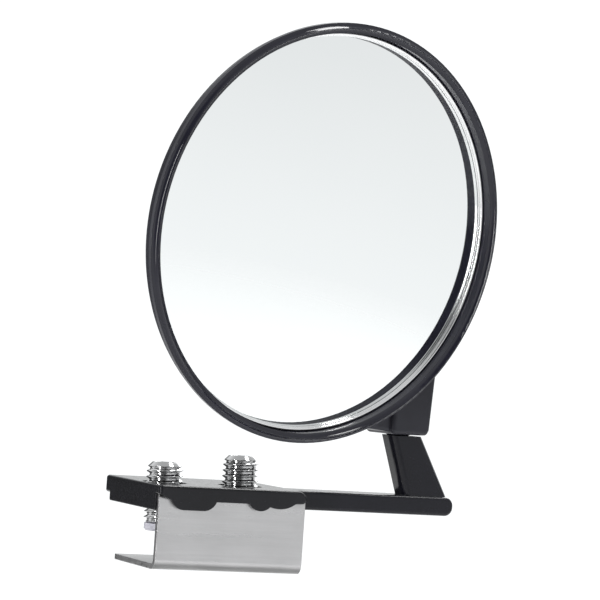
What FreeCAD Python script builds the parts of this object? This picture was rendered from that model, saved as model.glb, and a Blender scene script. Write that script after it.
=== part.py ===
import FreeCAD, Part
import math
import os

import Sketcher

"""Clamp-on round convex wide-angle mirror on a ball joint.

Millimetres, +Z up.  The origin is the middle of the jaw face, which is the upper side of the
steel bracket's lower flange.  +X runs along the arm from the clamp to the ball joint, and the
mirror faces -Y.
"""

OUTPUT = "parts"

DIMENSIONS = {
    # steel bracket
    "bracket_length": 34.0,
    "sheet_thickness": 1.2,
    "flange_depth": 26.0,
    "bend_radius": 1.0,
    "upper_flange_level": 14.9,
    "upper_flange_depth": 19.0,
    "upper_flange_reach": 12.4,
    # clamp head
    "head_left": -17.4,
    "head_back": 20.5,
    "head_bottom": 11.5,
    "head_top": 17.0,
    "head_corner": 1.0,
    "head_edge": 0.7,
    "heel_edge": 0.6,
    "heel_step": 3.4,
    "heel_level": 13.2,
    "lip_proud": 1.0,
    "lip_level": 13.85,
    "lip_nose": 1.9,
    "lip_left_rise": 1.4,
    "lip_dip": 0.5,
    "lip_right_rise": 0.4,
    "lip_chamfer": 0.8,
    "left_lobe_start": -14.4,
    "left_lobe_width": 10.3,
    "left_lobe_drop": 2.0,
    "left_lobe_side": 3.2,
    "left_lobe_bow": 0.62,
    "right_lobe_start": 3.6,
    "right_lobe_width": 4.8,
    "right_lobe_drop": 1.25,
    "end_lobe_width": 6.0,
    "end_lobe_drop": 0.8,
    "screw_mouth_radius": 4.9,
    "screw_hole_clearance": 0.3,
    "flange_corner_radius": 1.0,
    # set screws and what they turn in
    "screw_left_x": -11.75,
    "screw_spacing": 17.7,
    "screw_y": -1.6,
    "screw_radius": 4.0,
    "screw_length": 13.3,
    "screw_chamfer": 1.2,
    "screw_tip_chamfer": 0.7,
    "left_screw_top": 21.4,
    "right_screw_top": 23.6,
    "hex_across": 4.0,
    "hex_depth": 5.0,
    "plug_radius": 1.7,
    "plug_length": 3.0,
    "plug_end_gap": 0.2,
    "cap_radius": 3.8,
    "cap_thickness": 1.6,
    "cap_chamfer": 0.4,
    "bush_radius": 4.7,
    "bush_height": 3.2,
    "running_gap": 0.05,
    # arm
    "arm_front": -8.5,
    "arm_depth": 9.0,
    "arm_bottom": 12.7,
    "arm_top": 16.9,
    "arm_end": 55.1,
    "tongue_start": 12.6,
    "bar_edge": 0.8,
    "bar_end_round": 1.9,
    "post_base_left": 43.25,
    "post_base_width": 11.25,
    "post_head_left": 38.81,
    "post_head_width": 8.15,
    "post_front": -7.9,
    "post_depth": 6.6,
    "post_round": 2.2,
    "pin_radius": 1.25,
    "pin_x": 15.0,
    # ball joint
    "ball_x": 42.2,
    "ball_y": -4.0,
    "ball_z": 36.3,
    "ball_radius": 2.75,
    "neck_radius": 1.5,
    "shank_radius": 1.8,
    "shank_depth": 4.5,
    "seat_wall": 0.5,
    "seat_gap": 0.5,
    "seat_low": 2.2,
    "collar_radius": 3.8,
    "collar_mouth": 2.1,
    "throat_clearance": 0.5,
    "joint_gap": 0.3,
    "boss_radius": 6.6,
    "boss_gap": 0.1,
    "lug_drop": 5.9,
    "lug_half_depth": 5.2,
    "lug_left": -5.4,
    "lug_right": 5.07,
    "lug_shoulder": 6.17,
    "lug_rise": 10.5,
    "lug_cut": 0.55,
    "lug_cut_rise": 1.1,
    "lug_cut_flare": 0.09,
    "lug_left_rise": 4.5,
    "lug_round": 1.0,
    "gusset_left": -13.5,
    "gusset_overlap": 2.0,
    "gusset_low": 0.3,
    "gusset_toe": 1.2,
    "gusset_crown": 4.0,
    "gusset_shoulder": -0.5,
    "gusset_slope": 0.5,
    "gusset_half_depth": 3.9,
    "grub_radius": 1.0,
    "grub_recess": 0.1,
    # mirror head
    "disk_x": -31.78,
    "disk_y": -13.62,
    "disk_z": 36.2,
    "bezel_radius": 45.6,
    "bezel_inner": 43.4,
    "bezel_crest": 44.5,
    "bezel_inner_edge": 0.9,
    "bezel_outer_edge": 1.1,
    "bezel_inner_bow": 0.29,
    "bezel_outer_bow": 0.32,
    "bezel_back": 2.05,
    "bezel_skirt": 3.1,
    "skirt_radius": 44.2,
    "ring_inner": 42.5,
    "ring_edge": 0.25,
    "glass_radius": 42.9,
    "glass_edge": 4.2,
    "glass_thickness": 1.8,
    "glass_curvature": 260.0,
    "foam_inner": 37.5,
    "foam_outer": 41.5,
    "foam_room": 0.5,
    "ledge": 6.9,
    "ledge_width": 5.0,
    "ledge_height": 1.2,
    "shell_wall": 1.6,
    "shell_back": 14.2,
    "shell_waist": 7.0,
    "shell_waist_radius": 42.9,
    "shell_step": 0.1,
    "shell_side_bow": 0.25,
    "shell_shoulder_out": 0.8,
    "shell_shoulder_down": 0.9,
    "play": 0.05,
}

HEAD_PAN = 13.2     # degrees that the mirror head is turned about the ball's vertical axis
DISK_LEAN = 8.7     # degrees that the disk leans forward of the lug
OVERRUN = 1.0       # how far a cutting outline runs past what it cuts
QUARTER_BOW = 1 - math.sqrt(0.5)    # bow of a quarter circle, for a radius of one


class Size:
    """A number together with the sheet expression that gives it."""

    def __init__(self, value, text):
        self.value = value
        self.text = text

    def combine(self, other, sign, value):
        return Size(value, "(%s %s %s)" % (self.text, sign, as_size(other).text))

    def __add__(self, other):
        return self.combine(other, "+", self.value + as_size(other).value)

    def __sub__(self, other):
        return self.combine(other, "-", self.value - as_size(other).value)

    def __mul__(self, other):
        return self.combine(other, "*", self.value * as_size(other).value)

    def __truediv__(self, other):
        return self.combine(other, "/", self.value / as_size(other).value)

    def __radd__(self, other):
        return as_size(other) + self

    def __rsub__(self, other):
        return as_size(other) - self

    def __rmul__(self, other):
        return as_size(other) * self

    def __neg__(self):
        return Size(-self.value, "(-1 * %s)" % self.text)


def as_size(number):
    if isinstance(number, Size):
        return number
    return Size(float(number), "(%r)" % float(number))


class Sheet:
    """The spreadsheet's cells as Size attributes."""

    def __init__(self, doc, cells):
        self.sheet = doc.addObject("Spreadsheet::Sheet", "Sheet")
        for row, (alias, number) in enumerate(cells.items(), start=1):
            self.sheet.set("A%d" % row, alias)
            self.sheet.set("B%d" % row, str(number))
            self.sheet.setAlias("B%d" % row, alias)
            setattr(self, alias, Size(float(number), "Sheet.%s" % alias))


doc = FreeCAD.newDocument("ClampMirror")
d = Sheet(doc, DIMENSIONS)
doc.recompute()

SUBPARTS = []


def bind(item, prop, size):
    """Give a property its value and tie it to the sheet."""
    size = as_size(size)
    item.setExpression(prop, size.text)


def vector(x, y, z):
    return FreeCAD.Vector(as_size(x).value, as_size(y).value, as_size(z).value)


def placed(x, y, z, rotation=None):
    return FreeCAD.Placement(vector(x, y, z), rotation or FreeCAD.Rotation())


def subpart(item, label, placement=None):
    """Register a finished sub-part under its node name."""
    item.Label = label
    if placement is not None:
        item.Placement = placement
    SUBPARTS.append(item)
    return item


def new_body(name):
    return doc.addObject("PartDesign::Body", name)


def origin_plane(body, role):
    return next(f for f in body.Origin.OriginFeatures if f.Role == role)


def new_sketch(body, name, role, offset=0):
    """A sketch on one of the body's own origin planes, moved along its normal by offset."""
    sketch = body.newObject("Sketcher::SketchObject", name)
    sketch.AttachmentSupport = (origin_plane(body, role), [""])
    sketch.MapMode = "FlatFace"
    sketch.AttachmentOffset = placed(0, 0, offset)
    if isinstance(offset, Size):
        bind(sketch, "AttachmentOffset.Base.z", offset)
    return sketch


def pin_number(sketch, first, second, kind, size):
    """Hold a signed distance between two sketch points, each (geometry, position)."""
    size = as_size(size)
    if size.value < 0:
        first, second, size = second, first, -size
    index = sketch.addConstraint(Sketcher.Constraint(kind, *first, *second, size.value))
    sketch.setExpression("Constraints[%d]" % index, size.text)


def pin_point(sketch, geometry, position, x, y):
    """Hold a sketch point at (x, y) from the sketch's origin."""
    origin = (-1, 1)
    point = (geometry, position)
    for kind, size in (("DistanceX", x), ("DistanceY", y)):
        pin_number(sketch, origin, point, kind, size)


def pin_radius(sketch, geometry, size):
    size = as_size(size)
    index = sketch.addConstraint(Sketcher.Constraint("Radius", geometry, size.value))
    sketch.setExpression("Constraints[%d]" % index, size.text)


def outline(sketch, points):
    """Draw a closed outline.

    Each point is (x, y) or (x, y, sag): sag is how far the stretch to the next point bows out
    to the left of the direction of travel, and makes that stretch an arc of a circle.
    """
    corners = [(as_size(p[0]), as_size(p[1])) for p in points]
    sags = [p[2] if len(p) > 2 else None for p in points]
    ends = []
    for index, (x, y) in enumerate(corners):
        far_x, far_y = corners[(index + 1) % len(corners)]
        start = FreeCAD.Vector(x.value, y.value, 0)
        finish = FreeCAD.Vector(far_x.value, far_y.value, 0)
        sag = sags[index]
        if sag is None:
            geometry = sketch.addGeometry(Part.LineSegment(start, finish), False)
            ends.append(((geometry, 1), (geometry, 2)))
            continue
        sag = as_size(sag)
        along = finish - start
        left = FreeCAD.Vector(-along.y, along.x, 0).normalize()
        middle = (start + finish) * 0.5 + left * sag.value
        arc = Part.Arc(start, middle, finish)
        geometry = sketch.addGeometry(arc, False)
        begins_first = (sketch.getPoint(geometry, 1) - start).Length < 1e-6
        ends.append(((geometry, 1), (geometry, 2)) if begins_first else ((geometry, 2), (geometry, 1)))
        run_x = far_x - x
        run_y = far_y - y
        chord_squared = run_x * run_x + run_y * run_y
        size = sag if sag.value > 0 else -sag
        pin_radius(sketch, geometry, (chord_squared / 4 + sag * sag) / (2 * size))
    for index, (x, y) in enumerate(corners):
        arriving = ends[index - 1][1]
        leaving = ends[index][0]
        sketch.addConstraint(Sketcher.Constraint("Coincident", *arriving, *leaving))
        pin_point(sketch, leaving[0], leaving[1], x, y)


def rounded_box(left, low, right, high, radius):
    """Outline points of a rectangle with rounded corners."""
    bow = -(radius * QUARTER_BOW)
    return [
        (left + radius, low),
        (right - radius, low, bow),
        (right, low + radius),
        (right, high - radius, bow),
        (right - radius, high),
        (left + radius, high, bow),
        (left, high - radius),
        (left, low + radius, bow),
    ]


def circle(sketch, x, y, radius):
    spot = vector(x, y, 0)
    geometry = sketch.addGeometry(Part.Circle(spot, FreeCAD.Vector(0, 0, 1), as_size(radius).value), False)
    pin_point(sketch, geometry, 3, x, y)
    pin_radius(sketch, geometry, radius)


def pad(body, sketch, name, length, midplane=False, reverse=False):
    feature = body.newObject("PartDesign::Pad", name)
    feature.Profile = sketch
    feature.Midplane = midplane
    feature.Reversed = reverse
    bind(feature, "Length", length)
    doc.recompute()
    return feature


def pocket(body, sketch, name, length, midplane=False, reverse=False):
    """Cut a sketch into the body, and make sure that something was removed."""
    before = body.Shape.Volume
    feature = body.newObject("PartDesign::Pocket", name)
    feature.Profile = sketch
    feature.Midplane = midplane
    feature.Reversed = reverse
    bind(feature, "Length", length)
    doc.recompute()
    if body.Shape.Volume > before - 1e-6:
        raise ValueError("%s removes nothing" % name)
    return feature


def revolve(name, points):
    """A body turned about its own Y axis from an outline of (radius, depth) points."""
    body = new_body(name)
    sketch = new_sketch(body, name + "_section", "XY_Plane")
    outline(sketch, points)
    feature = body.newObject("PartDesign::Revolution", name + "_turn")
    feature.Profile = sketch
    feature.ReferenceAxis = (sketch, ["V_Axis"])
    feature.Angle = 360
    doc.recompute()
    return body


def turned(name, points):
    """A body turned about its own Z axis from an outline of (radius, height) points."""
    body = new_body(name)
    sketch = new_sketch(body, name + "_section", "XZ_Plane")
    outline(sketch, points)
    feature = body.newObject("PartDesign::Revolution", name + "_turn")
    feature.Profile = sketch
    feature.ReferenceAxis = (sketch, ["V_Axis"])
    feature.Angle = 360
    doc.recompute()
    return body


def edges_where(body, test):
    """Names of the edges of the body whose ends and direction pass the test."""
    names = []
    for index, edge in enumerate(body.Shape.Edges, start=1):
        if len(edge.Vertexes) != 2:
            continue
        low, high = edge.Vertexes[0].Point, edge.Vertexes[1].Point
        if test(low, high):
            names.append("Edge%d" % index)
    return names


def dress(body, kind, name, radius, test):
    """Fillet or chamfer the edges that pass the test."""
    base = body.Tip
    names = edges_where(body, test)
    if not names:
        raise ValueError("%s finds no edge" % name)
    feature = body.newObject("PartDesign::%s" % kind, name)
    feature.Base = (base, names)
    bind(feature, "Radius" if kind == "Fillet" else "Size", radius)
    doc.recompute()
    return feature


def along(axis):
    """A test for straight edges parallel to an axis, 0 for X, 1 for Y and 2 for Z."""
    def test(low, high):
        span = high - low
        return abs(span[axis]) > 0.999 * span.Length > 1e-6
    return test


def near(number, size):
    return abs(number - as_size(size).value) < 1e-3


def cut(name, base, tools):
    """Base less every tool."""
    whole = doc.addObject("Part::Cut", name)
    whole.Base = base
    whole.Tool = tools[0] if len(tools) == 1 else joined(name + "_tools", tools)
    doc.recompute()
    return whole


def joined(name, pieces):
    whole = doc.addObject("Part::MultiFuse", name)
    whole.Shapes = pieces
    doc.recompute()
    return whole


def cylinder(name, radius, length, x, y, z, rotation=None):
    item = doc.addObject("Part::Cylinder", name)
    bind(item, "Radius", radius)
    bind(item, "Height", length)
    item.Placement = placed(x, y, z, rotation)
    return item


def sphere(name, radius):
    item = doc.addObject("Part::Sphere", name)
    bind(item, "Radius", radius)
    return item


# --- steel bracket --------------------------------------------------------------------------

half_length = d.bracket_length / 2
web_front = -(d.flange_depth / 2)
web_back = web_front + d.sheet_thickness
bracket_top = d.upper_flange_level + d.sheet_thickness
screw_right_x = d.screw_left_x + d.screw_spacing


def make_bracket():
    """A channel folded from one sheet: jaw flange below, web in front, short flange above."""
    body = new_body("BracketBody")
    section = new_sketch(body, "bracket_section", "YZ_Plane")
    outline(section, [
        (web_front, -d.sheet_thickness),
        (d.flange_depth / 2, -d.sheet_thickness),
        (d.flange_depth / 2, 0),
        (web_back, 0),
        (web_back, d.upper_flange_level),
        (web_front + d.upper_flange_depth, d.upper_flange_level),
        (web_front + d.upper_flange_depth, bracket_top),
        (web_front, bracket_top),
    ])
    pad(body, section, "bracket_fold", d.bracket_length, midplane=True)

    relief = new_sketch(body, "bracket_relief", "XY_Plane", d.upper_flange_level)
    outline(relief, [
        (d.upper_flange_reach, web_front - OVERRUN),
        (half_length + OVERRUN, web_front - OVERRUN),
        (half_length + OVERRUN, d.flange_depth / 2),
        (d.upper_flange_reach, d.flange_depth / 2),
    ])
    pocket(body, relief, "bracket_relief_cut", d.sheet_thickness + OVERRUN, reverse=True)

    holes = new_sketch(body, "bracket_holes", "XY_Plane", d.upper_flange_level)
    for x in (d.screw_left_x, screw_right_x):
        circle(holes, x, d.screw_y, d.screw_radius + d.screw_hole_clearance)
    pocket(body, holes, "bracket_hole_cut", d.sheet_thickness + OVERRUN, reverse=True)

    def folded(low, high):
        return along(0)(low, high) and near(min(low.x, high.x), -half_length)

    def inner_bend(low, high):
        return folded(low, high) and near(low.y, web_back)

    def outer_bend(low, high):
        return folded(low, high) and near(low.y, web_front)

    dress(body, "Fillet", "bracket_inner_bend", d.bend_radius, inner_bend)
    dress(body, "Fillet", "bracket_outer_bend", d.bend_radius + d.sheet_thickness, outer_bend)

    def flange_corner(low, high):
        level = max(low.z, high.z)
        return along(2)(low, high) and near(low.y, d.flange_depth / 2) and near(level, 0)

    dress(body, "Fillet", "bracket_corner", d.flange_corner_radius, flange_corner)
    return subpart(body, "clamp_bracket")


# --- arm ------------------------------------------------------------------------------------

arm_back = d.arm_front + d.arm_depth
arm_middle = d.arm_front + d.arm_depth / 2
post_top = d.ball_z - d.lug_drop - d.joint_gap


def make_bar():
    """Flat bar with rounded edges and a rounded end."""
    body = new_body("BarBody")
    bar = new_sketch(body, "bar_section", "XZ_Plane", -d.arm_front)
    outline(bar, [
        (d.tongue_start, d.arm_bottom),
        (d.arm_end, d.arm_bottom),
        (d.arm_end, d.arm_top),
        (d.tongue_start, d.arm_top),
    ])
    pad(body, bar, "bar", d.arm_depth, reverse=True)

    def bar_end(low, high):
        return along(1)(low, high) and near(low.x, d.arm_end)

    dress(body, "Fillet", "bar_end_corners", d.bar_end_round, bar_end)
    dress(body, "Fillet", "bar_long_edges", d.bar_edge, along(0))
    return body


def make_post():
    """Post that leans back over the bar and narrows towards the ball joint."""
    body = new_body("PostBody")
    post_back = d.post_front + d.post_depth
    sections = []
    places = (
        ("post_base", d.arm_top - d.bar_edge, d.post_base_left, d.post_base_width),
        ("post_head", post_top, d.post_head_left, d.post_head_width),
    )
    for name, level, left, width in places:
        sketch = new_sketch(body, name, "XY_Plane", level)
        outline(sketch, rounded_box(left, d.post_front, left + width, post_back, d.post_round))
        sections.append(sketch)
    post = body.newObject("PartDesign::AdditiveLoft", "post")
    post.Profile = sections[0]
    post.Sections = [sections[1]]
    post.Ruled = True
    doc.recompute()
    return body


def make_arm():
    """Bar and post in one casting, bored for the stud and the pin."""
    solid = joined("ArmSolid", [make_bar(), make_post()])
    stud_bore = cylinder("StudBore", d.shank_radius, d.shank_depth + OVERRUN, d.ball_x, d.ball_y,
                         post_top - d.shank_depth)
    pin_bore = cylinder("PinBore", d.pin_radius, d.arm_top - d.arm_bottom, d.pin_x, arm_middle,
                        d.arm_bottom)
    dish = sphere("PostDish", d.boss_radius + d.boss_gap)
    dish.Placement = placed(d.ball_x, d.ball_y, d.ball_z)
    return subpart(cut("Arm", solid, [stud_bore, pin_bore, dish]), "arm")


def make_arm_pin():
    """Pin that holds the arm's tongue in the clamp head."""
    pin = cylinder("ArmPin", d.pin_radius, d.arm_top - d.head_bottom, d.pin_x, arm_middle, d.head_bottom)
    return subpart(pin, "arm_pin")


# --- clamp head -----------------------------------------------------------------------------

def make_thread_bush(x, label):
    """Steel bush that carries the set screw's thread, under the bracket's upper flange."""
    body = new_body(label + "_body")
    ring = new_sketch(body, label + "_ring", "XY_Plane")
    circle(ring, 0, 0, d.bush_radius)
    circle(ring, 0, 0, d.screw_radius + d.running_gap)
    pad(body, ring, label + "_pad", d.bush_height)
    return subpart(body, label, placed(x, d.screw_y, d.upper_flange_level - d.bush_height))


def make_clamp_head(bracket, bushes, arm, arm_pin):
    """Moulded block round the bracket's upper half, with a lobed lip over the web's face."""
    body = new_body("HeadBody")
    lip_front = web_front - d.lip_proud
    block = new_sketch(body, "head_plan", "XY_Plane", d.head_bottom)
    outline(block, [
        (d.head_left, web_back),
        (half_length, web_back),
        (half_length, d.head_back),
        (d.head_left, d.head_back),
    ])
    pad(body, block, "head_block", d.head_top - d.head_bottom)

    def back_corner(low, high):
        return along(2)(low, high) and near(low.y, d.head_back)

    dress(body, "Fillet", "head_back_corners", d.head_corner, back_corner)

    heel = new_sketch(body, "head_heel", "YZ_Plane")
    outline(heel, [
        (d.head_back - d.heel_step, d.head_bottom - OVERRUN),
        (d.head_back + OVERRUN, d.head_bottom - OVERRUN),
        (d.head_back + OVERRUN, d.heel_level),
        (d.head_back - d.heel_step, d.heel_level),
    ])
    pocket(body, heel, "head_heel_cut", d.bracket_length * 2, midplane=True)

    def heel_edge(low, high):
        step = near(low.y, d.head_back) and near(low.z, d.heel_level)
        foot = near(low.y, d.head_back - d.heel_step) and near(low.z, d.head_bottom)
        return along(0)(low, high) and (step or foot)

    dress(body, "Fillet", "heel_edges", d.heel_edge, heel_edge)

    lip = new_sketch(body, "lip_profile", "XZ_Plane", -lip_front)
    nose_level = d.head_top - d.lip_nose
    left_end = d.left_lobe_start + d.left_lobe_width
    lobe_level = d.lip_level - d.left_lobe_drop
    middle_end = d.right_lobe_start + d.right_lobe_width
    outline(lip, [
        (d.head_left, d.head_top),
        (d.head_left, d.lip_level + d.lip_left_rise),
        (d.left_lobe_start, d.lip_level, -d.left_lobe_bow),
        (d.left_lobe_start + d.left_lobe_side, lobe_level),
        (left_end - d.left_lobe_side, lobe_level, -d.left_lobe_bow),
        (left_end, d.lip_level),
        (d.right_lobe_start, d.lip_level, -d.right_lobe_drop),
        (middle_end, d.lip_level - d.lip_dip, -d.end_lobe_drop),
        (middle_end + d.end_lobe_width, d.lip_level + d.lip_right_rise),
        (half_length - d.lip_chamfer, nose_level - d.lip_chamfer),
        (half_length, nose_level, -(d.lip_nose * QUARTER_BOW)),
        (half_length - d.lip_nose, d.head_top),
    ])
    pad(body, lip, "lip", web_back - lip_front, reverse=True)

    def front_corner(low, high):
        return along(2)(low, high) and near(low.y, lip_front) and near(low.x, d.head_left)

    dress(body, "Fillet", "head_front_corner", d.head_corner, front_corner)

    def head_top_edge(low, high):
        outside = near(low.y, lip_front) or near(low.y, d.head_back)
        return along(0)(low, high) and near(low.z, d.head_top) and outside

    dress(body, "Fillet", "head_top_edges", d.head_edge, head_top_edge)

    mouths = new_sketch(body, "screw_mouths", "XY_Plane", d.head_top)
    for x in (d.screw_left_x, screw_right_x):
        circle(mouths, x, d.screw_y, d.screw_mouth_radius)
    pocket(body, mouths, "screw_mouth_cut", d.head_top - bracket_top)

    bores = new_sketch(body, "screw_bores", "XY_Plane", d.head_top)
    for x in (d.screw_left_x, screw_right_x):
        circle(bores, x, d.screw_y, d.screw_radius + d.screw_hole_clearance)
    pocket(body, bores, "screw_bore_cut", d.head_top - d.head_bottom)

    head = cut("ClampHead", body, [bracket, arm, arm_pin] + bushes)
    return subpart(head, "clamp_head")


# --- set screws and caps --------------------------------------------------------------------

def make_set_screw(x, top, label):
    """Set screw with a hexagon socket above and a blind hole for the cap's plug below."""
    bottom_inner = d.plug_length + d.plug_end_gap
    core = d.screw_radius - d.screw_chamfer
    tip = d.screw_radius - d.screw_tip_chamfer
    hole = d.plug_radius + d.running_gap
    shank = turned(label + "_shank", [
        (hole, 0),
        (tip, 0),
        (d.screw_radius, d.screw_tip_chamfer),
        (d.screw_radius, d.screw_length - d.screw_chamfer),
        (core, d.screw_length),
        (0, d.screw_length),
        (0, bottom_inner),
        (hole, bottom_inner),
    ])
    socket = doc.addObject("Part::Prism", label + "_socket")
    socket.Polygon = 6
    bind(socket, "Circumradius", d.hex_across / math.sqrt(3))
    bind(socket, "Height", d.hex_depth)
    socket.Placement = placed(0, 0, d.screw_length - d.hex_depth)
    screw = cut(label + "_whole", shank, [socket])
    return subpart(screw, label, placed(x, d.screw_y, top - d.screw_length))


def make_tip_cap(x, top, label):
    """Plastic foot with a plug that snaps into the set screw's tip."""
    body = turned(label + "_body", [
        (0, 0),
        (d.cap_radius - d.cap_chamfer, 0),
        (d.cap_radius, d.cap_chamfer),
        (d.cap_radius, d.cap_thickness),
        (d.plug_radius, d.cap_thickness),
        (d.plug_radius, d.cap_thickness + d.plug_length),
        (0, d.cap_thickness + d.plug_length),
    ])
    level = top - d.screw_length - d.running_gap - d.cap_thickness
    return subpart(body, label, placed(x, d.screw_y, level))


# --- ball joint -----------------------------------------------------------------------------
# Heights are from the ball's centre, in the mirror head's own frame.

seat_inner = d.ball_radius + d.play
seat_outer = seat_inner + d.seat_wall
socket_radius = seat_outer + d.play

HEAD_PLACE = placed(d.ball_x, d.ball_y, d.ball_z, FreeCAD.Rotation(FreeCAD.Vector(0, 0, 1), HEAD_PAN))
DISK_PLACE = placed(d.disk_x, d.disk_y, d.disk_z, FreeCAD.Rotation(FreeCAD.Vector(1, 0, 0), DISK_LEAN))


def root(number):
    return Size(math.sqrt(number.value), "sqrt(%s)" % number.text)


def make_ball_stud():
    """Ball on a neck, with a shank pressed into the post."""
    reach = d.boss_radius + d.boss_gap
    foot = d.lug_drop + d.joint_gap + d.shank_depth
    neck = cylinder("StudNeck", d.neck_radius, reach, 0, 0, -reach)
    shank = cylinder("StudShank", d.shank_radius, foot - reach, 0, 0, -foot)
    stud = joined("BallStud", [sphere("StudBall", d.ball_radius), neck, shank])
    return subpart(stud, "ball_stud", placed(d.ball_x, d.ball_y, d.ball_z))


def make_seat(label, low, high):
    """Slice of the plastic liner round the ball, between two heights."""
    shell = doc.addObject("Part::Cut", label + "_shell")
    shell.Base = sphere(label + "_outside", seat_outer)
    shell.Tool = sphere(label + "_inside", seat_inner)
    slab = cylinder(label + "_slab", d.collar_radius, high - low, 0, 0, low)
    seat = doc.addObject("Part::Common", label + "_whole")
    seat.Base = shell
    seat.Tool = slab
    doc.recompute()
    return subpart(seat, label, HEAD_PLACE)


def socket_space():
    """Ball-shaped hollow that the two seats turn in."""
    return sphere("SocketSpace", socket_radius)


def make_socket_collar():
    """Ring pressed into the lug from below, which keeps the ball in."""
    ring = cylinder("CollarBlank", d.collar_radius, d.lug_drop, 0, 0, -d.lug_drop)
    throat = d.neck_radius + d.throat_clearance
    mouth = turned("CollarMouth", [
        (0, -d.boss_radius - OVERRUN),
        (d.collar_mouth, -d.boss_radius - OVERRUN),
        (d.collar_mouth, -d.lug_drop),
        (throat, -d.ball_radius),
        (throat, 0),
        (0, 0),
    ])
    boss = doc.addObject("Part::Common", "CollarBoss")
    boss.Base = sphere("BossSphere", d.boss_radius)
    boss.Tool = cylinder("BossRod", d.collar_radius, d.boss_radius - d.lug_drop, 0, 0, -d.boss_radius)
    doc.recompute()
    collar = cut("Collar", joined("CollarSolid", [ring, boss]),
                 [sphere("CollarSpace", socket_radius), mouth])
    return subpart(collar, "socket_collar", HEAD_PLACE)


# --- mirror head ----------------------------------------------------------------------------
# Outlines are (radius, depth) from the disk's centre, with depth counted back from the front.

def cap_sag(curvature, radius):
    """Height of a spherical cap of this curvature radius over a rim of this radius."""
    return curvature - root(curvature * curvature - radius * radius)


glass_front = d.glass_edge - cap_sag(d.glass_curvature, d.ring_inner)
glass_back_curvature = d.glass_curvature - d.glass_thickness
glass_back = glass_front + d.glass_thickness


def front_depth(radius):
    """Depth of the glass's front face at this radius."""
    return glass_front + cap_sag(d.glass_curvature, radius)


def back_depth(radius):
    """Depth of the glass's back face at this radius."""
    return glass_back + cap_sag(glass_back_curvature, radius)


def glass_sphere(name, radius):
    """Ball about the glass's centre of curvature, in the disk's frame."""
    ball = sphere(name, radius)
    ball.Placement = placed(0, glass_front + d.glass_curvature, 0)
    return ball


def arc_sag(start, finish, curvature):
    """Bow of the arc of this radius between two (radius, depth) points."""
    run = finish[0] - start[0]
    rise = finish[1] - start[1]
    return curvature - root(curvature * curvature - (run * run + rise * rise) / 4)


def dome_sag(radius, height):
    """Bow of a dome's profile from its rim to its crown."""
    curvature = (radius * radius + height * height) / (height * 2)
    return curvature - root(curvature * curvature - (radius * radius + height * height) / 4)


def make_bezel():
    """Glossy front ring with a rounded lip."""
    body = revolve("Bezel", [
        (d.bezel_inner, d.bezel_skirt),
        (d.bezel_inner, d.bezel_inner_edge, d.bezel_inner_bow),
        (d.bezel_crest, 0, d.bezel_outer_bow),
        (d.bezel_radius, d.bezel_outer_edge),
        (d.bezel_radius, d.bezel_back),
        (d.skirt_radius, d.bezel_back),
        (d.skirt_radius, d.bezel_skirt),
    ])
    return subpart(body, "bezel", HEAD_PLACE * DISK_PLACE)


def make_retaining_ring():
    """Bright sloping ring that holds the glass's edge."""
    outer = d.bezel_inner
    body = revolve("RetainingRing", [
        (d.ring_inner, d.glass_edge - d.ring_edge),
        (outer, d.bezel_skirt),
        (outer, d.glass_edge),
        (d.glass_radius, d.glass_edge),
        (d.ring_inner, d.glass_edge - d.play),
    ])
    return subpart(body, "retaining_ring", HEAD_PLACE * DISK_PLACE)


def make_glass():
    """Convex mirror glass of even thickness."""
    blank = cylinder("GlassBlank", d.glass_radius, d.shell_back, 0, 0, 0,
                     FreeCAD.Rotation(FreeCAD.Vector(1, 0, 0), -90))
    front = doc.addObject("Part::Common", "GlassFront")
    front.Base = blank
    front.Tool = glass_sphere("FrontSphere", d.glass_curvature)
    glass = cut("Glass", front, [glass_sphere("BackSphere", glass_back_curvature)])
    return subpart(glass, "mirror_glass", HEAD_PLACE * DISK_PLACE)


def make_foam_ring():
    """Foam ring between the glass's back and the shell's ledge."""
    inner = (d.foam_inner, back_depth(d.foam_inner))
    outer = (d.foam_outer, back_depth(d.foam_outer))
    body = revolve("FoamRing", [
        (inner[0], inner[1], arc_sag(inner, outer, glass_back_curvature)),
        outer,
        (d.foam_outer, d.ledge),
        (d.foam_inner, d.ledge),
    ])
    return subpart(body, "foam_ring", HEAD_PLACE * DISK_PLACE)


def lug_block(name, points, half_depth):
    """Block with this outline in the XZ plane, centred on the ball's axis."""
    body = new_body(name)
    sketch = new_sketch(body, name + "_outline", "XZ_Plane")
    outline(sketch, points)
    pad(body, sketch, name + "_pad", half_depth * 2, midplane=True)
    return body


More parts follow.
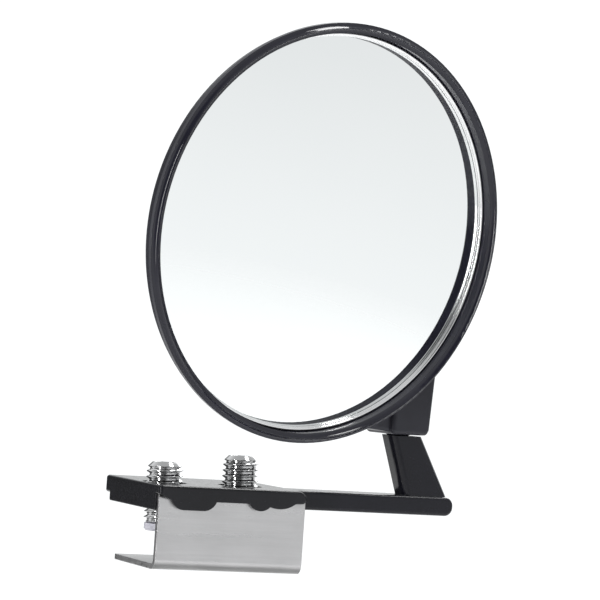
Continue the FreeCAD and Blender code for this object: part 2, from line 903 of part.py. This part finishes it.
def make_housing():
    """Back shell with the ball joint's lug moulded on at its lower right."""
    shell_edge = d.bezel_back + d.play
    waist = (d.shell_waist_radius, d.shell_waist)
    outside = revolve("ShellOutside", [
        (0, shell_edge),
        (d.bezel_radius - d.shell_step, shell_edge, -d.shell_side_bow),
        (waist[0] + d.shell_shoulder_out, waist[1] - d.shell_shoulder_down),
        (waist[0], waist[1], -dome_sag(waist[0], d.shell_back - waist[1])),
        (0, d.shell_back),
    ])
    outside.Placement = DISK_PLACE

    inner_back = d.shell_back - d.shell_wall
    hollow = (d.foam_outer - d.ledge_width, d.ledge + d.ledge_height)
    step = d.bezel_skirt + d.play
    glass_room = d.glass_radius + d.play
    inside = revolve("ShellInside", [
        (0, -OVERRUN),
        (d.skirt_radius + d.play, -OVERRUN),
        (d.skirt_radius + d.play, step),
        (d.bezel_inner + d.play, step),
        (d.bezel_inner + d.play, d.glass_edge),
        (glass_room, d.glass_edge),
        (glass_room, back_depth(d.glass_radius) + d.play),
        (d.foam_outer + d.foam_room, back_depth(d.glass_radius) + d.play),
        (d.foam_outer + d.foam_room, d.ledge),
        (hollow[0], d.ledge),
        (hollow[0], hollow[1], -dome_sag(hollow[0], inner_back - hollow[1])),
        (0, inner_back),
    ])
    inside.Placement = DISK_PLACE

    lug = lug_block("Lug", [
        (d.lug_left, -d.lug_drop),
        (d.lug_right - d.lug_cut, -d.lug_drop),
        (d.lug_right + d.lug_cut_flare, -d.lug_drop + d.lug_cut_rise),
        (d.lug_shoulder, d.lug_rise),
        (d.lug_left, d.lug_left_rise),
    ], d.lug_half_depth)

    def lug_edge(low, high):
        bottom = near(low.z, -d.lug_drop) and near(high.z, -d.lug_drop)
        right = min(low.x, high.x) > 0 and not near(low.z, high.z)
        left = near(low.x, d.lug_left) and near(high.x, d.lug_left) and along(2)(low, high)
        corner = along(1)(low, high) and near(low.z, d.lug_cut_rise - d.lug_drop)
        return bottom or right or left or corner

    dress(lug, "Fillet", "lug_edges", d.lug_round, lug_edge)

    gusset_right = d.lug_left + d.gusset_overlap
    gusset = lug_block("Gusset", [
        (gusset_right, -d.lug_drop + d.gusset_low),
        (gusset_right, d.gusset_crown),
        (d.gusset_left + d.gusset_slope, d.gusset_shoulder),
        (d.gusset_left, -d.lug_drop + d.gusset_toe),
    ], d.gusset_half_depth)

    def gusset_edge(low, high):
        return max(low.x, high.x) < gusset_right.value + 1e-3 and not along(1)(low, high)

    dress(gusset, "Fillet", "gusset_edges", d.lug_round, gusset_edge)

    solid = joined("HousingSolid", [outside, lug, gusset])
    collar_bore = cylinder("CollarBore", d.collar_radius, d.lug_drop + OVERRUN, 0, 0,
                           -d.lug_drop - OVERRUN)
    grub_bore = cylinder("GrubBore", d.grub_radius, d.lug_half_depth, 0, 0, -d.lug_drop / 2,
                         FreeCAD.Rotation(FreeCAD.Vector(1, 0, 0), -90))
    housing = cut("Housing", solid, [inside, collar_bore, socket_space(), grub_bore])
    return subpart(housing, "mirror_housing", HEAD_PLACE)


def make_collar_grub():
    """Small grub screw through the lug's back that locks the collar."""
    length = d.lug_half_depth - d.collar_radius - d.grub_recess
    grub = cylinder("CollarGrub", d.grub_radius, length, 0, d.collar_radius, -d.lug_drop / 2)
    turn = FreeCAD.Placement(vector(0, d.collar_radius, -d.lug_drop / 2),
                             FreeCAD.Rotation(FreeCAD.Vector(1, 0, 0), -90))
    return subpart(grub, "collar_grub", HEAD_PLACE * turn)


def build():
    bracket = make_bracket()
    arm = make_arm()
    arm_pin = make_arm_pin()
    bushes = [
        make_thread_bush(d.screw_left_x, "thread_bush_left"),
        make_thread_bush(screw_right_x, "thread_bush_right"),
    ]
    make_clamp_head(bracket, bushes, arm, arm_pin)
    sides = (("left", d.screw_left_x, d.left_screw_top), ("right", screw_right_x, d.right_screw_top))
    for side, x, top in sides:
        make_set_screw(x, top, "set_screw_" + side)
        make_tip_cap(x, top, "tip_cap_" + side)
    make_ball_stud()
    make_seat("ball_seat_lower", -d.seat_low, -d.seat_gap)
    make_seat("ball_seat_upper", d.seat_gap, seat_outer)
    make_socket_collar()
    make_housing()
    make_collar_grub()
    make_bezel()
    make_retaining_ring()
    make_glass()
    make_foam_ring()
    doc.recompute()


def check():
    """Stop if any object failed or any sub-part has no sound shape."""
    for item in doc.Objects:
        if "Invalid" in item.State or "Error" in item.State:
            raise ValueError("%s: %s" % (item.Label, item.State))
    for item in SUBPARTS:
        if item.Shape.isNull() or not item.Shape.isValid():
            raise ValueError("%s has no sound shape" % item.Label)


def export():
    os.makedirs(OUTPUT, exist_ok=True)
    for item in SUBPARTS:
        item.Shape.exportStep(os.path.join(OUTPUT, item.Label + ".step"))
        box = item.Shape.BoundBox
        print("%-20s solids %d volume %9.1f  x %6.2f %6.2f  y %6.2f %6.2f  z %6.2f %6.2f" % (
            item.Label, len(item.Shape.Solids), item.Shape.Volume,
            box.XMin, box.XMax, box.YMin, box.YMax, box.ZMin, box.ZMax))


build()
check()
export()
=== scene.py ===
import math

import bmesh
import bpy
import numpy as np
from mathutils import Matrix, Vector


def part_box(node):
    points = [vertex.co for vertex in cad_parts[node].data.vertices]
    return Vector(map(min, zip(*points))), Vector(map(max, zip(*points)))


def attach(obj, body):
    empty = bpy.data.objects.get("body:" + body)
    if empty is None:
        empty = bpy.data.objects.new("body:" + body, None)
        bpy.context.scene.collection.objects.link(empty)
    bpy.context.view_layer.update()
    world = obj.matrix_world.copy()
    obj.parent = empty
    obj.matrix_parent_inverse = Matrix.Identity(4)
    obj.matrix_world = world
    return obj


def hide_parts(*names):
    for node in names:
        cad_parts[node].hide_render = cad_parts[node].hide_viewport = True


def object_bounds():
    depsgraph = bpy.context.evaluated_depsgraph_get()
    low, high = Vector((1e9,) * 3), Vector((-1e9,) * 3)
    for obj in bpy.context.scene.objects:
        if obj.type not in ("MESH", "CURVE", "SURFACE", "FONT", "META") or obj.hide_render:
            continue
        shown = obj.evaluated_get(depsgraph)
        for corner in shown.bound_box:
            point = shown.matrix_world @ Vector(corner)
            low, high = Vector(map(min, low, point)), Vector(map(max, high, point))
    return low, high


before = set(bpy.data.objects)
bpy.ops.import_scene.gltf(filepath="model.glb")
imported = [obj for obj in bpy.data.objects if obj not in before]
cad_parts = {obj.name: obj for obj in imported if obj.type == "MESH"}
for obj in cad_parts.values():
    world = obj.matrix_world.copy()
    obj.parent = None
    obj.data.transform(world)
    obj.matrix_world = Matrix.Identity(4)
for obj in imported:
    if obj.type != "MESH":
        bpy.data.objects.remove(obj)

CAD_BOX = [[float(n) for n in corner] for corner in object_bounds()]
MM = 0.001


# --- camera ---------------------------------------------------------------------------------

CAMERA_TARGET = Vector((0.00795, -0.02348, 0.05833))
CAMERA_DISTANCE = 0.6402
CAMERA_AZIMUTH = -23.15
CAMERA_ELEVATION = -0.81
CAMERA_ROLL = 3.91
LENS = 180.0
SENSOR = 36.0
CLIP_NEAR = 0.01
CLIP_FAR = 50


def make_camera():
    """Camera that looks at its target from an azimuth (0 is the front) and an elevation."""
    azimuth = math.radians(CAMERA_AZIMUTH)
    elevation = math.radians(CAMERA_ELEVATION)
    towards = Vector((math.sin(azimuth) * math.cos(elevation),
                      -math.cos(azimuth) * math.cos(elevation),
                      math.sin(elevation)))
    level_right = towards.cross(Vector((0, 0, -1))).normalized()
    level_up = towards.cross(level_right)
    roll = math.radians(CAMERA_ROLL)
    right = level_right * math.cos(roll) + level_up * math.sin(roll)
    up = level_up * math.cos(roll) - level_right * math.sin(roll)
    data = bpy.data.cameras.new("camera")
    data.lens = LENS
    data.sensor_width = SENSOR
    data.clip_start = CLIP_NEAR
    data.clip_end = CLIP_FAR
    camera = bpy.data.objects.new("camera", data)
    bpy.context.scene.collection.objects.link(camera)
    turn = Matrix((right, up, towards)).transposed().to_4x4()
    camera.matrix_world = Matrix.Translation(CAMERA_TARGET + towards * CAMERA_DISTANCE) @ turn
    bpy.context.scene.camera = camera


# --- materials ------------------------------------------------------------------------------

class Nodes:
    """Short calls for building one material's node tree."""

    def __init__(self, name):
        self.material = bpy.data.materials.new(name)
        self.material.use_nodes = True
        self.tree = self.material.node_tree
        self.shader = self.tree.nodes["Principled BSDF"]

    def add(self, kind, **inputs):
        node = self.tree.nodes.new(kind)
        for key, value in inputs.items():
            self.put(node.inputs[key.replace("_", " ")], value)
        return node

    def put(self, socket, value):
        if isinstance(value, bpy.types.NodeSocket):
            self.tree.links.new(value, socket)
        else:
            socket.default_value = value

    def set(self, **inputs):
        for key, value in inputs.items():
            self.put(self.shader.inputs[key.replace("_", " ")], value)

    def math(self, operation, *values):
        """Result of one arithmetic node."""
        node = self.add("ShaderNodeMath")
        node.operation = operation
        for socket, value in zip(node.inputs, values):
            self.put(socket, value)
        return node.outputs["Value"]

    def place(self, stretch=(1, 1, 1)):
        """Object coordinates, stretched along the axes."""
        coordinates = self.add("ShaderNodeTexCoord").outputs["Object"]
        mapping = self.add("ShaderNodeMapping", Vector=coordinates, Scale=stretch)
        return mapping.outputs["Vector"]

    def noise(self, scale, detail=4.0, roughness=0.55, stretch=(1, 1, 1)):
        """Noise value with this many grains to the metre."""
        node = self.add("ShaderNodeTexNoise", Vector=self.place(stretch), Scale=scale,
                        Detail=detail, Roughness=roughness)
        return node.outputs["Fac"]

    def spread(self, value, low, high, start=0.3, stop=0.7):
        """Map a noise value onto a range."""
        node = self.add("ShaderNodeMapRange", Value=value)
        for key, number in (("From Min", start), ("From Max", stop), ("To Min", low), ("To Max", high)):
            node.inputs[key].default_value = number
        return node.outputs["Result"]

    def ramp(self, value, stops):
        """Colour ramp from (position, colour) stops."""
        node = self.add("ShaderNodeValToRGB", Fac=value)
        elements = node.color_ramp.elements
        while len(elements) < len(stops):
            elements.new(0.5)
        for element, (position, colour) in zip(elements, stops):
            element.position = position
            element.color = (*colour, 1)
        return node.outputs["Color"]

    def bump(self, height, distance, strength=1.0, under=None):
        """Bump of this many metres from a height between 0 and 1."""
        node = self.add("ShaderNodeBump", Height=height, Distance=distance, Strength=strength)
        if under is not None:
            self.put(node.inputs["Normal"], under)
        return node.outputs["Normal"]

    def round_edges(self, radius):
        """Normal that rounds hard edges off, for the bump nodes to stand on."""
        node = self.add("ShaderNodeBevel", Radius=radius)
        node.samples = 6
        return node.outputs["Normal"]


def grey(level, tint=(1, 1, 1)):
    return tuple(level * part for part in tint)


def brushed_steel():
    """Steel brushed along its length, with painted shade on its bends and on faces that look up."""
    m = Nodes("bracket_steel")
    lines = m.noise(900, detail=6, roughness=0.7, stretch=(0.06, 1, 1))
    cloud = m.noise(70, detail=3)
    m.set(Metallic=1.0, Anisotropic=0.35)
    grain = m.noise(500, detail=8, roughness=0.8, stretch=(0.05, 1, 1))
    tone = m.math("MULTIPLY_ADD", grain, 0.6, m.spread(cloud, 0.1, 0.3, 0.2, 0.8))
    # Painted shade: the colour is darkened where the normal leans both to the front and up (the bends), and
    # again on faces that look up.
    facing = m.add("ShaderNodeSeparateXYZ", Vector=m.add("ShaderNodeNewGeometry").outputs["Normal"])
    painted_bend_shade = m.math("ABSOLUTE", m.math("MULTIPLY", facing.outputs["Y"], facing.outputs["Z"]))
    shade = m.math("SUBTRACT", tone, m.spread(painted_bend_shade, 0.0, 0.5, 0.15, 0.45))
    level = m.math("SUBTRACT", shade, m.spread(facing.outputs["Z"], 0.0, 0.35, 0.8, 0.95))
    m.set(Base_Color=m.ramp(level, (
        (0.0, grey(0.24)),
        (0.3, grey(0.46, (1.01, 1, 1.01))),
        (0.7, grey(0.60, (1.01, 1, 1.01))),
    )))
    m.set(Roughness=m.spread(lines, 0.24, 0.40))
    m.set(Normal=m.bump(lines, 0.004 * MM, under=m.round_edges(0.25 * MM)))
    return m.material


def plated_steel(name, level, low, high, scratches=0.0015):
    """Bright metal with fine scratches; level is how light it is."""
    m = Nodes(name)
    fine = m.noise(2600, detail=5, roughness=0.65, stretch=(1, 1, 0.35))
    cloud = m.noise(160, detail=3)
    m.set(Metallic=1.0)
    m.set(Base_Color=m.ramp(cloud, ((0.3, grey(level * 0.93)), (0.72, grey(level, (1, 1, 1.01))))))
    m.set(Roughness=m.spread(fine, low, high))
    m.set(Normal=m.bump(fine, scratches * MM, under=m.round_edges(0.08 * MM)))
    return m.material


PLASTIC_TINT = (1, 1, 1.28)
GLOSS_TINT = (1, 1, 1.6)


def moulded_black(name, level, rough, grain, edge, gloss):
    """Moulded plastic with a fine grain, worn a little lighter in places."""
    m = Nodes(name)
    skin = m.noise(grain, detail=5, roughness=0.6)
    cloud = m.noise(55, detail=4)
    m.set(Base_Color=m.ramp(cloud, (
        (0.32, grey(level * 0.8, PLASTIC_TINT)),
        (0.7, grey(level * 1.25, PLASTIC_TINT)),
    )))
    m.set(Roughness=m.spread(skin, rough - 0.05, rough + 0.07), Specular_IOR_Level=gloss)
    m.set(Normal=m.bump(skin, 0.012 * MM, strength=0.7, under=m.round_edges(edge)))
    return m.material


def painted_arm():
    """Dark gloss paint with a faint orange peel."""
    m = Nodes("arm_metal")
    peel = m.noise(420, detail=2, roughness=0.4)
    cloud = m.noise(60, detail=4)
    m.set(Specular_IOR_Level=0.3)
    m.set(Base_Color=m.ramp(cloud, ((0.3, grey(0.006, GLOSS_TINT)), (0.72, grey(0.010, GLOSS_TINT)))))
    m.set(Roughness=m.spread(cloud, 0.20, 0.27))
    m.set(Normal=m.bump(peel, 0.01 * MM, strength=0.6, under=m.round_edges(0.2 * MM)))
    return m.material


def glossy_black():
    """Polished black plastic with a little dust."""
    m = Nodes("bezel_plastic")
    peel = m.noise(160, detail=2, roughness=0.4)
    dust = m.noise(3200, detail=3, roughness=0.7)
    m.set(Base_Color=m.ramp(peel, ((0.3, grey(0.014, GLOSS_TINT)), (0.7, grey(0.018, GLOSS_TINT)))))
    m.set(Roughness=m.spread(dust, 0.05, 0.12, 0.45, 0.8), Specular_IOR_Level=0.4)
    m.set(Normal=m.bump(peel, 0.004 * MM, under=m.round_edges(0.12 * MM)))
    return m.material


def mirror_silver():
    """Silvered glass, nearly clean."""
    m = Nodes("mirror_glass")
    dust = m.noise(2400, detail=5, roughness=0.7)
    cloud = m.noise(22, detail=2)
    m.set(Metallic=1.0)
    m.set(Base_Color=m.ramp(cloud, ((0.3, (0.925, 0.945, 0.945)), (0.7, (0.94, 0.955, 0.955)))))
    m.set(Roughness=m.spread(dust, 0.0, 0.035, 0.6, 0.85))
    return m.material


def pale_plastic(name, colour, rough):
    """Nylon that lets a little light in."""
    m = Nodes(name)
    skin = m.noise(900, detail=4)
    cloud = m.noise(120, detail=3)
    dark = tuple(part * 0.93 for part in colour)
    m.set(Base_Color=m.ramp(cloud, ((0.3, dark), (0.7, colour))))
    m.set(Subsurface_Weight=0.15, Subsurface_Radius=(1.2 * MM, 1.0 * MM, 1.0 * MM))
    m.set(Roughness=m.spread(skin, rough - 0.05, rough + 0.06))
    m.set(Normal=m.bump(skin, 0.006 * MM, under=m.round_edges(0.1 * MM)))
    return m.material


def foam():
    """Dark foam with open cells."""
    m = Nodes("foam")
    cells = m.add("ShaderNodeTexVoronoi", Vector=m.place(), Scale=2200).outputs["Distance"]
    m.set(Base_Color=m.ramp(cells, ((0.1, grey(0.02)), (0.6, grey(0.055)))), Roughness=0.9)
    m.set(Normal=m.bump(cells, 0.1 * MM, strength=0.6))
    return m.material


def dress_nodes():
    """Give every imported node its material."""
    steel = brushed_steel()
    bush = plated_steel("bush_steel", 0.45, 0.28, 0.42)
    screw = plated_steel("screw_steel", 0.70, 0.07, 0.15)
    ball = plated_steel("ball_steel", 0.62, 0.08, 0.14, 0.0005)
    head = moulded_black("head_plastic", 0.010, 0.22, 1500, 0.35 * MM, 0.30)
    shell = moulded_black("shell_plastic", 0.029, 0.34, 1100, 0.3 * MM, 0.22)
    cap = pale_plastic("cap_plastic", (0.62, 0.61, 0.68), 0.42)
    seat = pale_plastic("seat_plastic", (0.72, 0.70, 0.64), 0.45)
    ring = plated_steel("ring_metal", 0.90, 0.07, 0.14, 0.0003)
    looks = {
        "clamp_bracket": steel, "clamp_head": head, "arm": painted_arm(), "arm_pin": bush,
        "thread_bush_left": bush, "thread_bush_right": bush, "set_screw_left": screw,
        "set_screw_right": screw, "tip_cap_left": cap, "tip_cap_right": cap, "ball_stud": ball,
        "ball_seat_lower": seat, "ball_seat_upper": seat, "socket_collar": shell,
        "mirror_housing": shell, "collar_grub": bush, "bezel": glossy_black(),
        "retaining_ring": ring, "mirror_glass": mirror_silver(), "foam_ring": foam(),
    }
    for name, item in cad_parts.items():
        for slot in item.material_slots:
            slot.material = looks[name]
    return looks


# --- set screws -----------------------------------------------------------------------------

PITCH = 1.25 * MM
MAJOR = 4.0 * MM
THREAD_DEPTH = 0.7 * MM
TOP_CHAMFER = 1.2 * MM
TIP_CHAMFER = 0.7 * MM
HEX_ACROSS = 4.0 * MM
HEX_DEPTH = 5.0 * MM
HEX_CHAMFER = 0.18 * MM
HEX_CHAMFER_DEPTH = 0.25 * MM
HEX_FLOOR_DROP = 0.5 * MM
TOP_DISH = 0.05 * MM
TOP_DISH_WALL = 0.35 * MM
TIP_BORE_RADIUS = 1.75 * MM
TIP_BORE_DEPTH = 3.2 * MM
CREST_SHARE = 0.14      # shares of half a pitch that the thread's flat crest and its flank take
FLANK_SHARE = 0.68
SCREW_SHARP = 38        # degrees between faces that meet in a sharp edge
AROUND = 96
PER_TURN = 18


def join_rings(mesh, lower, upper):
    """Faces between two rings of equally many points."""
    for step in range(len(lower)):
        after = (step + 1) % len(lower)
        mesh.faces.new((lower[step], lower[after], upper[after], upper[step]))


def finished(mesh, name, sharp):
    """Smooth object from a mesh, with sharp edges where faces meet at more than this many degrees."""
    bmesh.ops.recalc_face_normals(mesh, faces=mesh.faces)
    for face in mesh.faces:
        face.smooth = True
    data = bpy.data.meshes.new(name)
    mesh.to_mesh(data)
    mesh.free()
    data.set_sharp_from_angle(angle=math.radians(sharp))
    item = bpy.data.objects.new(name, data)
    bpy.context.scene.collection.objects.link(item)
    return item


def thread_radius(height, angle, low, high):
    """Radius of the threaded rod at this height and angle."""
    phase = ((height - low) / PITCH - angle / math.tau) % 1.0
    rise = abs(phase - 0.5) * 2
    depth = THREAD_DEPTH * min(1.0, max(0.0, (rise - CREST_SHARE) / FLANK_SHARE))
    radius = MAJOR - depth * min(1.0, (high - height) / TOP_CHAMFER)
    from_top = MAJOR - TOP_CHAMFER + (high - height)
    from_tip = MAJOR - TIP_CHAMFER + (height - low)
    return min(radius, from_top, from_tip)


def make_set_screw(node):
    """Threaded rod with a chamfered top, a hexagon socket and a bored tip."""
    low_corner, high_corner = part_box(node)
    x = (low_corner[0] + high_corner[0]) / 2
    y = (low_corner[1] + high_corner[1]) / 2
    low, high = low_corner[2], high_corner[2]
    mesh = bmesh.new()

    def ring_at(height, radius_at):
        ring = []
        for step in range(AROUND):
            angle = math.tau * step / AROUND
            radius = radius_at(angle)
            ring.append(mesh.verts.new((x + radius * math.cos(angle), y + radius * math.sin(angle), height)))
        return ring

    def thread(height):
        return lambda angle: thread_radius(height, angle, low, high)

    def hexagon(grown):
        def radius_at(angle):
            wedge = (angle + math.pi / 6) % (math.pi / 3) - math.pi / 6
            return (HEX_ACROSS / 2 + grown) / math.cos(wedge)
        return radius_at

    count = round((high - low) / PITCH * PER_TURN)
    heights = [low + (high - low) * row / count for row in range(count + 1)]
    rows = [ring_at(height, thread(height)) for height in heights]
    top = MAJOR - TOP_CHAMFER
    rows.append(ring_at(high - TOP_DISH, lambda angle: top - TOP_DISH_WALL))
    rows.append(ring_at(high - TOP_DISH, hexagon(HEX_CHAMFER)))
    rows.append(ring_at(high - HEX_CHAMFER_DEPTH, hexagon(0.0)))
    rows.append(ring_at(high - HEX_DEPTH, hexagon(0.0)))
    rows.append(ring_at(high - HEX_DEPTH - HEX_FLOOR_DROP, lambda angle: HEX_ACROSS / 8))
    for lower, upper in zip(rows, rows[1:]):
        join_rings(mesh, lower, upper)
    mesh.faces.new(rows[-1])
    bottom = ring_at(low, lambda angle: TIP_BORE_RADIUS)
    bore = ring_at(low + TIP_BORE_DEPTH, lambda angle: TIP_BORE_RADIUS)
    join_rings(mesh, bottom, rows[0])
    join_rings(mesh, bore, bottom)
    mesh.faces.new(list(reversed(bore)))
    return finished(mesh, node + "_thread", SCREW_SHARP)


def make_screws(looks):
    """Threaded screws in place of the CAD's smooth ones."""
    for side in ("left", "right"):
        node = "set_screw_" + side
        screw = make_set_screw(node)
        screw.data.materials.append(looks[node])
        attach(screw, "screw_" + side)
        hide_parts(node)


# --- retaining ring -------------------------------------------------------------------------

RING_AROUND = 240
RING_SHARP = 50                 # degrees
WALL_BEAD = (43.02 * MM, 3.48 * MM)     # middle of the bead: radius, depth behind the disk's front
WALL_BEAD_RADIUS = 0.34 * MM
GLASS_BEAD = (42.66 * MM, 4.00 * MM)
GLASS_BEAD_RADIUS = 0.14 * MM
RING_BACK = ((42.56 * MM, 4.14 * MM), (42.9 * MM, 4.18 * MM), (43.36 * MM, 4.18 * MM))
RIM_BAND = 0.25 * MM            # width of the bezel's outermost points, which give its plane


def lathe(name, profile, around):
    """Closed ring turned about the disk's axis from (radius, depth) points."""
    centre, axis_y = disk_axis()
    axis_x = Vector((0, 0, 1)).cross(axis_y).normalized()
    axis_z = axis_x.cross(axis_y)
    mesh = bmesh.new()
    rings = []
    for step in range(around):
        angle = math.tau * step / around
        out = axis_x * math.cos(angle) + axis_z * math.sin(angle)
        rings.append([mesh.verts.new(centre + out * radius + axis_y * depth) for radius, depth in profile])
    for step, ring in enumerate(rings):
        join_rings(mesh, ring, rings[(step + 1) % around])
    return finished(mesh, name, RING_SHARP)


def plane_normal(points):
    """Normal of the plane through these points, pointing away from the front."""
    middle = sum(points, Vector()) / len(points)
    spread = [point - middle for point in points]
    matrix = [[sum(a[i] * a[j] for a in spread) for j in range(3)] for i in range(3)]
    normal = Vector(np.linalg.eigh(np.array(matrix))[1][:, 0]).normalized()
    return normal if normal.y > 0 else -normal


def middle_of(points, normal):
    """Middle of these points' outline, seen along the normal."""
    across = normal.cross(Vector((0, 0, 1))).normalized()
    middle = Vector()
    for side in (across, normal.cross(across)):
        reach = [point.dot(side) for point in points]
        middle += side * (min(reach) + max(reach)) / 2
    return middle


def disk_axis():
    """Centre of the disk's front plane and its axis, from the front to the back, off the bezel."""
    points = [Vector(v.co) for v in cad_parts["bezel"].data.vertices]
    axis = plane_normal(points)
    middle = middle_of(points, axis)
    reach = [((point - middle) - axis * (point - middle).dot(axis)).length for point in points]
    axis = plane_normal([point for point, out in zip(points, reach) if out > max(reach) - RIM_BAND])
    front = min(point.dot(axis) for point in points)
    return middle_of(points, axis) + axis * front, axis


def arc_points(middle, radius, start, stop, count):
    """Points of an arc in (radius, depth), by angle in degrees."""
    points = []
    for step in range(count + 1):
        angle = math.radians(start + (stop - start) * step / count)
        points.append((middle[0] + radius * math.cos(angle), middle[1] + radius * math.sin(angle)))
    return points


def make_retaining_ring(looks):
    """Rolled ring: a bead against the bezel's wall, a groove, and a thinner bead on the glass."""
    outer = arc_points(WALL_BEAD, WALL_BEAD_RADIUS, -10, -205, 14)
    inner = arc_points(GLASS_BEAD, GLASS_BEAD_RADIUS, -60, -230, 8)
    ring = lathe("retaining_ring_bead", outer + inner + list(RING_BACK), RING_AROUND)
    ring.data.materials.append(looks["retaining_ring"])
    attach(ring, "mirror_head")
    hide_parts("retaining_ring")


# --- stage ----------------------------------------------------------------------------------

FLOOR_DROP = 0.045      # metres below the object
FLOOR_HALF = 20
FLOOR_FADE = (0.16, 0.42)   # metres from the middle where the paint starts and stops thinning out


def floor_paint():
    """Pale matt paint that thins out into the studio away from the object."""
    m = Nodes("floor")
    m.set(Base_Color=(0.93, 0.93, 0.93, 1), Roughness=0.9)
    distance = m.add("ShaderNodeVectorMath")
    distance.operation = "LENGTH"
    m.put(distance.inputs[0], m.place())
    m.set(Alpha=m.spread(distance.outputs["Value"], 1.0, 0.0, *FLOOR_FADE))
    return m.material


def make_floor():
    """Pale floor, well below the object."""
    low = min(CAD_BOX[0][2], CAD_BOX[1][2])
    mesh = bmesh.new()
    bmesh.ops.create_grid(mesh, x_segments=1, y_segments=1, size=FLOOR_HALF)
    data = bpy.data.meshes.new("floor")
    mesh.to_mesh(data)
    mesh.free()
    floor = bpy.data.objects.new("floor", data)
    floor.location = (0, 0, low - FLOOR_DROP)
    floor.data.materials.append(floor_paint())
    bpy.context.scene.collection.objects.link(floor)


# Lights: name, place, what it points at, size, power in watts
LIGHTS = (
    ("overhead", (0.30, 0.02, 0.78), (0.0, 0.0, 0.03), (0.6, 0.16), 4.2),
    ("left strip", (-0.82, -0.39, 0.08), (0.0, 0.0, 0.06), (0.10, 0.9), 5),
    ("rim", (0.55, 0.65, 0.60), (0.0, 0.0, 0.05), (0.3, 0.5), 3),
)


def make_light(name, at, towards, size, power):
    """Rectangular soft light."""
    data = bpy.data.lights.new(name, "AREA")
    data.shape = "RECTANGLE"
    data.size, data.size_y = size
    data.energy = power
    light = bpy.data.objects.new(name, data)
    light.location = at
    aim = (Vector(towards) - Vector(at)).to_track_quat("-Z", "Y")
    light.rotation_euler = aim.to_euler()
    bpy.context.scene.collection.objects.link(light)


# Dark stretches of the studio: (direction, cosine where it starts, cosine where it is full, depth)
DARK_WALLS = (
    ((-0.87, -0.50, 0.05), 0.42, 0.74, 0.86),
    ((-0.26, 0.96, 0.00), 0.84, 0.94, 0.92),
    ((0.99, 0.00, 0.10), 0.95, 0.985, 0.75),
)
LIGHT_BELOW = 1.22
LIGHT_ABOVE = 0.53
BACK_GLOW = 0.25
PALE_BACKDROP = 1.1
STUDIO_COLOUR = (0.985, 1.0, 1.005, 1)


def make_world():
    """White studio, brightest below; the dark walls show in reflections and not behind the object."""
    world = bpy.data.worlds.new("studio")
    bpy.context.scene.world = world
    world.use_nodes = True
    tree = world.node_tree
    direction = tree.nodes.new("ShaderNodeTexCoord").outputs["Generated"]

    def along(axis):
        node = tree.nodes.new("ShaderNodeVectorMath")
        node.operation = "DOT_PRODUCT"
        node.inputs[1].default_value = Vector(axis).normalized()
        tree.links.new(direction, node.inputs[0])
        return node.outputs["Value"]

    def spread(value, numbers, smooth=True):
        node = tree.nodes.new("ShaderNodeMapRange")
        node.interpolation_type = "SMOOTHSTEP" if smooth else "LINEAR"
        for key, number in zip(("From Min", "From Max", "To Min", "To Max"), numbers):
            node.inputs[key].default_value = number
        tree.links.new(value, node.inputs["Value"])
        return node.outputs["Result"]

    def combine(operation, first, second):
        node = tree.nodes.new("ShaderNodeMath")
        node.operation = operation
        tree.links.new(first, node.inputs[0])
        tree.links.new(second, node.inputs[1])
        return node.outputs["Value"]

    height = spread(along((0, 0, 1)), (-1, 1, LIGHT_BELOW, LIGHT_ABOVE), smooth=False)
    level = combine("ADD", height, spread(along((0, 1, 0)), (0.2, 0.85, 0.0, BACK_GLOW)))
    for axis, start, full, depth in DARK_WALLS:
        level = combine("MULTIPLY", level, spread(along(axis), (start, full, 1.0, 1.0 - depth)))
    seen = tree.nodes.new("ShaderNodeMapRange")
    seen.inputs["To Max"].default_value = PALE_BACKDROP
    tree.links.new(tree.nodes.new("ShaderNodeLightPath").outputs["Is Camera Ray"], seen.inputs["Value"])
    tree.links.new(level, seen.inputs["To Min"])
    background = tree.nodes["Background"]
    background.inputs["Color"].default_value = STUDIO_COLOUR
    tree.links.new(seen.outputs["Result"], background.inputs["Strength"])


make_camera()
looks = dress_nodes()
make_screws(looks)
make_retaining_ring(looks)
make_floor()
make_world()
for light in LIGHTS:
    make_light(*light)
bpy.context.scene.view_settings.view_transform = "Standard"
